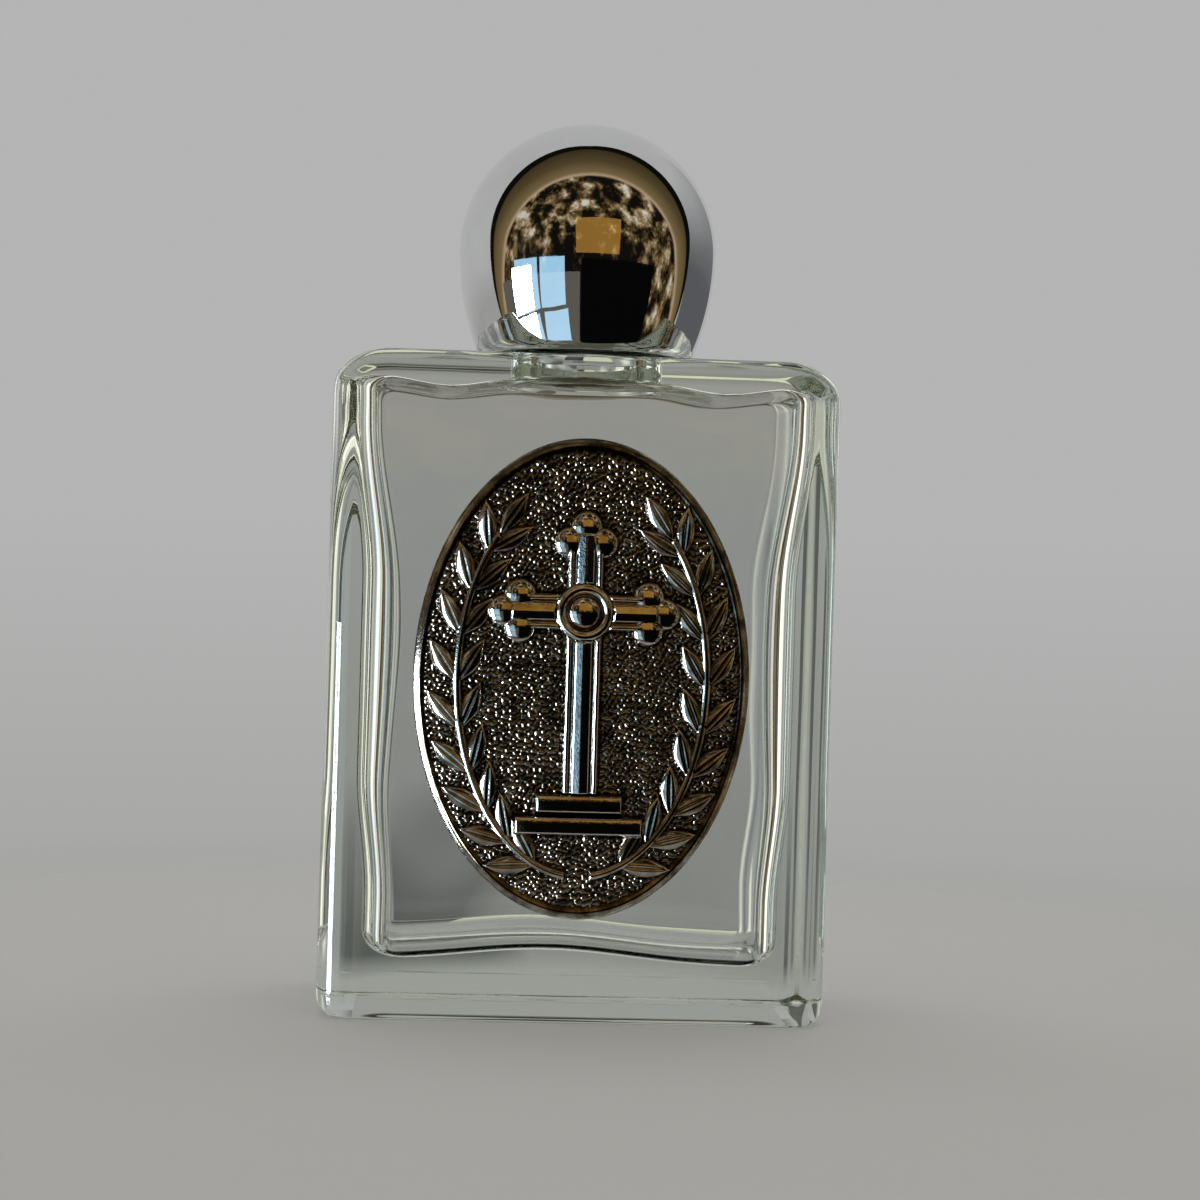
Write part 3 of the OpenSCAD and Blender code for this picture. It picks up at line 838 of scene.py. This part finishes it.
def silver_material():
    """Antique silver: dark brown patina in the recesses and bare bright metal on what stands out."""
    material, tree, shader, place = new_material("antique_silver")
    rubbed = node(tree, "Attribute")
    rubbed.attribute_name = "wear"
    cloud = noise(tree, place, 700, 4, 0.6)
    patchy = spread(tree, cloud, 0.3, 0.7, -0.16, 0.16)
    share = math_node(tree, "ADD", rubbed.outputs["Fac"], patchy)
    tone = colour_ramp(tree, share, (0.20, (0.007, 0.006, 0.004)), (0.42, (0.078, 0.066, 0.051)),
                       (0.62, (0.40, 0.37, 0.32)), (0.90, (0.76, 0.74, 0.69)))
    link(tree, tone, shader, "Base Color")
    shader.inputs["Metallic"].default_value = 1
    link(tree, spread(tree, share, 0.15, 0.8, 0.17, 0.07), shader, "Roughness")
    bump(tree, shader, noise(tree, place, 5200, 3), 0.00003, 0.25)
    return material


def glue_material():
    """Clear glue under pressure, with small bubbles, over the metal behind it."""
    material, tree, shader, place = new_material("clear_glue")
    bubbles = node(tree, "TexVoronoi", Vector=place, Scale=700.0).outputs["Distance"]
    cloud = noise(tree, place, 260, 4, 0.6)
    tone = colour_ramp(tree, cloud, (0.3, (0.72, 0.69, 0.57)), (0.7, (0.84, 0.81, 0.70)))
    link(tree, tone, shader, "Base Color")
    link(tree, spread(tree, bubbles, 0.1, 0.5, 0.2, 0.5), shader, "Roughness")
    bump(tree, shader, bubbles, 0.0001, 0.4)
    return material


# Stage
PALE = (0.455, 0.46, 0.455)
BELOW_HORIZON = (0.365, 0.365, 0.355)
CREAM = (0.95, 0.97, 0.74)
HORIZON = (-0.16, 0.02)
FLOOR_R = 0.3
FLOOR_FADE = (0.045, 0.14)
# Painted shadow on the floor under the front of the bottle: half width, middle and half depth of its
# strip
PAINTED_SHADOW_STRIP = (0.0162, 0.0062, 0.0022)
SIDE_CUT = (0.024, 0.036)
CLOSE_BEHIND = (0.038, 0.046)
CLOSE_LEVEL = 1.15
GLOW_SHARE = 0.4
ROOM_R = 0.8
ROOM_HALF_TURN = 97
ROOM_AXIS = (0, -0.966, -0.259)
ROOM_FRONT_R = 0.79
ROOM_TILT = 12
ROOM_EDGE_AXIS = (0, 1, -0.06)
STREAK_ENDS = (-172, 166)
STREAK_STRETCH = (1, 1, 0.3)
SHADE_END = 150
OBJECT_MIDDLE = (0, 0, 0.035)

# Parts of the room as turns from the front and rises, in degrees
SCREEN = ((-8, 58), (-75, 3))
HAZE = ((-85, -9), (-60, -3))
SCREEN_R = 0.78
BACK_SPLIT = 179
LOW_BACK_RISES = (-30, -11.2)
LOW_LEFT_TURN = 175
LOW_LEFT_RISES = (-9, -2.5)
LOW_LEFT_FADE = (-0.015, 0.022, 0.042)
CEILING_RISES = (15, 90)


def make_world():
    """A pale surround, a little darker below the horizon."""
    world = bpy.data.worlds.new("studio")
    bpy.context.scene.world = world
    world.use_nodes = True
    tree = world.node_tree
    place = node(tree, "TexCoord").outputs["Generated"]
    height = node(tree, "SeparateXYZ", Vector=place).outputs["Z"]
    level = spread(tree, height, *HORIZON, 0, 1)
    tone = colour_ramp(tree, level, (0, BELOW_HORIZON), (1, PALE))
    tree.links.new(tone, tree.nodes["Background"].inputs["Color"])


def add_stage(name, points, faces, material):
    mesh = bpy.data.meshes.new(name)
    mesh.from_pydata(points, [], faces)
    mesh.materials.append(material)
    shown = bpy.data.objects.new(name, mesh)
    bpy.context.scene.collection.objects.link(shown)
    return shown


def mix_shaders(tree, share, first, second):
    mix = tree.nodes.new("ShaderNodeMixShader")
    for socket, output in zip(mix.inputs, (share, first, second)):
        tree.links.new(output, socket)
    return mix.outputs["Shader"]


def glow(tree, colour, strength=1.0):
    return node(tree, "Emission", Color=colour, Strength=strength).outputs["Emission"]


def stage_material(name):
    """An empty material for the surroundings: its tree, its output socket and its coordinates."""
    material, tree, _, place = new_material(name)
    return material, tree, tree.nodes["Material Output"].inputs["Surface"], place


def beside_painted_shadow(tree, across, along):
    """0 on the painted shadow, a dark strip under the front of the bottle, and 1 beside it."""
    half_x, middle_y, half_y = PAINTED_SHADOW_STRIP
    out_x = spread(tree, across, half_x, half_x + 0.002, 0, 1)
    off_y = math_node(tree, "ABSOLUTE", math_node(tree, "ADD", along, middle_y), 0)
    out_y = spread(tree, off_y, half_y, half_y + 0.001, 0, 1)
    return math_node(tree, "MAXIMUM", out_x, out_y)


def floor_material():
    """Pale floor that keeps the shadow and fades into the surround, with a painted shadow: a near-black
    strip under the front of the bottle.

    Where it is seen, it glows a little, most of all just behind the bottle for rays through glass. It is
    see-through to the sides for rays through glass, and all round for mirrored rays.
    """
    material, tree, surface, place = stage_material("pale_floor")
    parts = node(tree, "SeparateXYZ", Vector=place).outputs
    across = math_node(tree, "ABSOLUTE", parts["X"], 0)
    beside = beside_painted_shadow(tree, across, parts["Y"])
    # Painted shadow: the floor is near black on the strip under the front of the bottle, and pale beside
    # it
    tone = colour_ramp(tree, beside, (0.2, (0.03, 0.03, 0.03)), (0.9, (0.80, 0.80, 0.79)))
    matt = node(tree, "BsdfDiffuse", Color=tone).outputs["BSDF"]
    path = node(tree, "LightPath").outputs
    through = path["Is Transmission Ray"]
    reflected = path["Is Glossy Ray"]
    bent = math_node(tree, "MAXIMUM", reflected, through)
    seen = math_node(tree, "MAXIMUM", path["Is Camera Ray"], bent)
    close = math_node(tree, "MULTIPLY", through, spread(tree, parts["Y"], *CLOSE_BEHIND, 1, 0))
    pale = glow(tree, (*PALE, 1), spread(tree, close, 0, 1, 1, CLOSE_LEVEL))
    seen_share = spread(tree, seen, 0, 1, 0, GLOW_SHARE)
    share = math_node(tree, "ADD", seen_share, spread(tree, close, 0, 1, 0, GLOW_SHARE))
    near = mix_shaders(tree, math_node(tree, "MULTIPLY", share, beside), matt, pale)
    distance = vector_node(tree, "LENGTH", place)["Value"]
    fade = spread(tree, distance, *FLOOR_FADE, 0, 1, eased=True)
    sideways = math_node(tree, "MULTIPLY", through, spread(tree, across, *SIDE_CUT, 0, 1))
    around = math_node(tree, "MULTIPLY", reflected, spread(tree, distance, *SIDE_CUT, 0, 1))
    open_share = math_node(tree, "MAXIMUM", fade, math_node(tree, "MAXIMUM", sideways, around))
    clear = node(tree, "BsdfTransparent").outputs["BSDF"]
    tree.links.new(mix_shaders(tree, open_share, near, clear), surface)
    return material


def make_floor():
    turns = np.radians(np.arange(0, 360, 4))
    points = [(FLOOR_R * math.cos(turn), FLOOR_R * math.sin(turn), 0) for turn in turns]
    add_stage("floor", points, [list(range(len(points)))], floor_material())


def room_material():
    """A dim room: a busy dark middle, a brown ceiling arched round it and black at the far edge."""
    material, tree, surface, place = stage_material("dim_room")
    forward = vector_node(tree, "DOT_PRODUCT", place, ROOM_AXIS)["Value"]
    level = spread(tree, forward, -ROOM_R, ROOM_R, 0, 1)
    arch = colour_ramp(tree, level, (0.30, (0.035, 0.025, 0.011)), (0.43, (0.085, 0.06, 0.025)),
                       (0.53, (0.19, 0.135, 0.06)), (0.555, (0.45, 0.33, 0.21)))
    thinner = spread(tree, level, 0.80, 0.95, 0, -0.13)
    clutter = math_node(tree, "ADD", noise(tree, place, 7.0, 5, 0.65), thinner)
    busy = colour_ramp(tree, clutter, (0.43, (0.006, 0.005, 0.004)), (0.50, (0.075, 0.048, 0.018)),
                       (0.57, (0.30, 0.21, 0.10)), (0.66, (0.65, 0.63, 0.55)))
    inside = spread(tree, level, 0.555, 0.57, 0, 1)
    room = mix_shaders(tree, inside, glow(tree, arch), glow(tree, busy))
    behind = vector_node(tree, "DOT_PRODUCT", place, ROOM_EDGE_AXIS)["Value"]
    edge = spread(tree, behind, 0.055 * ROOM_R, 0.075 * ROOM_R, 0, 1)
    black = glow(tree, (0.004, 0.004, 0.003, 1))
    tree.links.new(mix_shaders(tree, edge, room, black), surface)
    return material


def streak_material(name, dark, bright):
    """Upright streaks, pale between dark and bright ones, for the edges of the glass."""
    material, tree, surface, place = stage_material(name)
    upright = vector_node(tree, "MULTIPLY", place, STREAK_STRETCH)["Vector"]
    streaks = noise(tree, upright, 2.9, 2, 0.5)
    tone = colour_ramp(tree, streaks, (0.40, dark), (0.46, PALE), (0.50, PALE), (0.58, bright))
    tree.links.new(glow(tree, tone), surface)
    return material


def plain_material(name, colour):
    material, tree, surface, _ = stage_material(name)
    tree.links.new(glow(tree, (*colour, 1)), surface)
    return material


def shade_material(name, *tones, fade=None):
    """Plain tones from straight down to straight up, which may fade out to both sides of a place."""
    material, tree, surface, place = stage_material(name)
    parts = node(tree, "SeparateXYZ", Vector=place).outputs
    tone = colour_ramp(tree, spread(tree, parts["Z"], -ROOM_R, ROOM_R, 0, 1), *tones)
    shown = glow(tree, tone)
    if fade:
        clear = node(tree, "BsdfTransparent").outputs["BSDF"]
        middle, near, far = fade
        aside = math_node(tree, "ABSOLUTE", math_node(tree, "SUBTRACT", parts["X"], middle), 0)
        shown = mix_shaders(tree, spread(tree, aside, near, far, 0, 1), shown, clear)
    tree.links.new(shown, surface)
    return material


def toward(turn, rise):
    """Direction at a turn from the front and a rise, in radians."""
    return Vector((math.sin(turn) * math.cos(rise), -math.cos(turn) * math.cos(rise), math.sin(rise)))


def add_dome(name, turns, rises, material, radius=ROOM_R, tilt=0.0):
    """Part of a ball round the object, between two turns and two rises, out of the camera's sight."""
    points = []
    lean = Matrix.Rotation(math.radians(-tilt), 3, "X")
    columns = np.radians(np.linspace(*turns, 31))
    rows = np.radians(np.linspace(*rises, 31))
    for rise in rows:
        for turn in columns:
            points.append(lean @ toward(turn, rise) * radius)
    wide = len(columns)
    faces = [(wide * r + c, wide * r + c + 1, wide * (r + 1) + c + 1, wide * (r + 1) + c)
             for r in range(len(rows) - 1) for c in range(wide - 1)]
    part = add_stage(name, points, faces, material)
    part.visible_camera = False
    return part


def make_room():
    """The dim room in front, sides, ceiling and low shades for the glass, and a shade for the metal."""
    whole_front = (-ROOM_HALF_TURN, ROOM_HALF_TURN)
    add_dome("room_front", whole_front, (-90, 90), room_material(), ROOM_FRONT_R, ROOM_TILT)
    screen = plain_material("dark_screen", (0.002, 0.002, 0.002))
    haze = plain_material("left_haze", (0.115, 0.105, 0.09))
    for part in (add_dome("screen", *SCREEN, screen, SCREEN_R),
                 add_dome("haze_left", *HAZE, haze, SCREEN_R)):
        part.visible_transmission = False
    warm = streak_material("warm_streaks", (0.14, 0.14, 0.13), (0.90, 0.90, 0.74))
    cool = streak_material("cool_streaks", (0.11, 0.11, 0.11), (1.3, 1.28, 1.1))
    ceiling = shade_material("dim_ceiling", (0.61, PALE), (0.66, (0.20, 0.17, 0.13)),
                             (0.71, (0.04, 0.035, 0.03)), (0.78, (0.05, 0.045, 0.04)),
                             (0.84, (1.0, 1.0, 0.95)))
    low_back = shade_material("dim_low_back", (0.25, PALE), (0.30, (0.05, 0.055, 0.05)),
                              (0.415, (0.05, 0.055, 0.05)))
    low_left = shade_material("dim_low_left", (0.424, (0.10, 0.105, 0.105)),
                              (0.452, (0.22, 0.225, 0.22)), (0.478, (0.42, 0.425, 0.42)),
                              fade=LOW_LEFT_FADE)
    cream = plain_material("bright_back", CREAM)
    left_end, right_end = STREAK_ENDS
    behind = (right_end, 360 + left_end)
    for part in (add_dome("streaks_left", (-ROOM_HALF_TURN, left_end), (-90, 60), warm),
                 add_dome("streaks_right", (ROOM_HALF_TURN, right_end), (-90, 60), cool),
                 add_dome("ceiling", behind, CEILING_RISES, ceiling),
                 add_dome("low_back", (BACK_SPLIT, behind[1]), LOW_BACK_RISES, low_back),
                 add_dome("bright_back", (right_end, BACK_SPLIT), LOW_BACK_RISES, cream),
                 add_dome("low_left", (LOW_LEFT_TURN, behind[1]), LOW_LEFT_RISES, low_left)):
        part.visible_glossy = False
        part.visible_diffuse = False
    shade = shade_material("right_shade", (0.55, (0.108, 0.111, 0.12)), (0.85, PALE))
    side = add_dome("shade_right", (ROOM_HALF_TURN, SHADE_END), (-90, 90), shade)
    side.visible_transmission = False
    side.visible_diffuse = False


def add_lamp(name, place, aim, width, height, level, colour):
    """A soft rectangular lamp of a given brightness, turned to a point."""
    data = bpy.data.lights.new(name, "AREA")
    data.shape = "RECTANGLE"
    data.size = width
    data.size_y = height
    data.energy = level * math.pi * width * height
    data.color = colour
    lamp = bpy.data.objects.new(name, data)
    lamp.location = place
    lamp.rotation_euler = (Vector(aim) - Vector(place)).to_track_quat("-Z", "Y").to_euler()
    lamp.visible_camera = False
    bpy.context.scene.collection.objects.link(lamp)
    return lamp


def add_window(name, turn, rise, away, panes, pane, gap, level, colour):
    """A window of several panes, at a turn and rise in degrees seen from the object."""
    turn = math.radians(turn)
    middle = toward(turn, math.radians(rise)) * away
    across = Vector((math.cos(turn), math.sin(turn), 0))
    upward = across.cross(-middle).normalized()
    lamps = []
    for column in range(panes[0]):
        for row in range(panes[1]):
            side = (column - (panes[0] - 1) / 2) * (pane[0] + gap)
            lift = (row - (panes[1] - 1) / 2) * (pane[1] + gap)
            place = middle + across * side + upward * lift
            pane_name = "%s_%d_%d" % (name, column, row)
            lamps.append(add_lamp(pane_name, place, OBJECT_MIDDLE, *pane, level, colour))
    return lamps


def make_lamps():
    """The window, the sky behind it and a warm panel, and soft lamps that no mirror shows."""
    cool = (0.80, 0.91, 1.0)
    warm = (1.0, 0.94, 0.84)
    window = add_window("window_left", turn=-64, rise=-17, away=0.62, panes=(2, 2), pane=(0.10, 0.20),
                        gap=0.016, level=32.0, colour=cool)
    add_window("sky_left", turn=-47, rise=-19, away=0.70, panes=(2, 2), pane=(0.30, 0.28),
               gap=0.02, level=0.9, colour=(0.42, 0.74, 1.0))
    add_window("amber_panel", turn=6, rise=18, away=0.70, panes=(1, 1), pane=(0.48, 0.30),
               gap=0.0, level=0.28, colour=(1.0, 0.52, 0.09))
    overhead = add_lamp("overhead", (0, 0.05, 0.72), (0, 0, 0), width=0.55, height=0.55,
                        level=1.2, colour=(1.0, 0.99, 0.97))
    rim_left = add_lamp("rim_left", (-0.53, 0.28, 0.06), (0, 0, 0.03), width=0.22, height=0.4,
                        level=1.0, colour=cool)
    rim_right = add_lamp("rim_right", (0.53, 0.28, 0.06), (0, 0, 0.03), width=0.20, height=0.4,
                         level=0.85, colour=warm)
    for lamp in (overhead, rim_left, rim_right):
        lamp.visible_glossy = False
    for lamp in window:
        lamp.visible_transmission = False


def allow_glass_paths(cycles):
    """Light crosses many glass faces here, so its paths are long enough not to end in black."""
    cycles.max_bounces = 32
    cycles.glossy_bounces = 20
    cycles.transmission_bounces = 32


def make_camera():
    """The camera at its fitted place, turned, tipped and rolled."""
    data = bpy.data.cameras.new("camera")
    data.sensor_width = 36
    data.lens = CAMERA_LENS_MM
    data.clip_start = 0.01
    camera = bpy.data.objects.new("camera", data)
    level = Vector((math.cos(CAMERA_YAW), math.sin(CAMERA_YAW), 0))
    forward = Vector((-math.sin(CAMERA_YAW) * math.cos(CAMERA_PITCH),
                      math.cos(CAMERA_YAW) * math.cos(CAMERA_PITCH), math.sin(CAMERA_PITCH)))
    upright = level.cross(forward)
    right = level * math.cos(CAMERA_ROLL) + upright * math.sin(CAMERA_ROLL)
    up = upright * math.cos(CAMERA_ROLL) - level * math.sin(CAMERA_ROLL)
    turn = Matrix((right, up, -forward)).transposed()
    camera.matrix_world = Matrix.Translation(CAMERA_PLACE) @ turn.to_4x4()
    bpy.context.scene.collection.objects.link(camera)
    bpy.context.scene.camera = camera


make_glass()
make_cap()
make_medallion()
make_pad()
make_world()
make_floor()
make_room()
make_lamps()
make_camera()
bpy.context.scene.view_settings.view_transform = "Standard"
allow_glass_paths(bpy.context.scene.cycles)

bpy.context.view_layer.update()
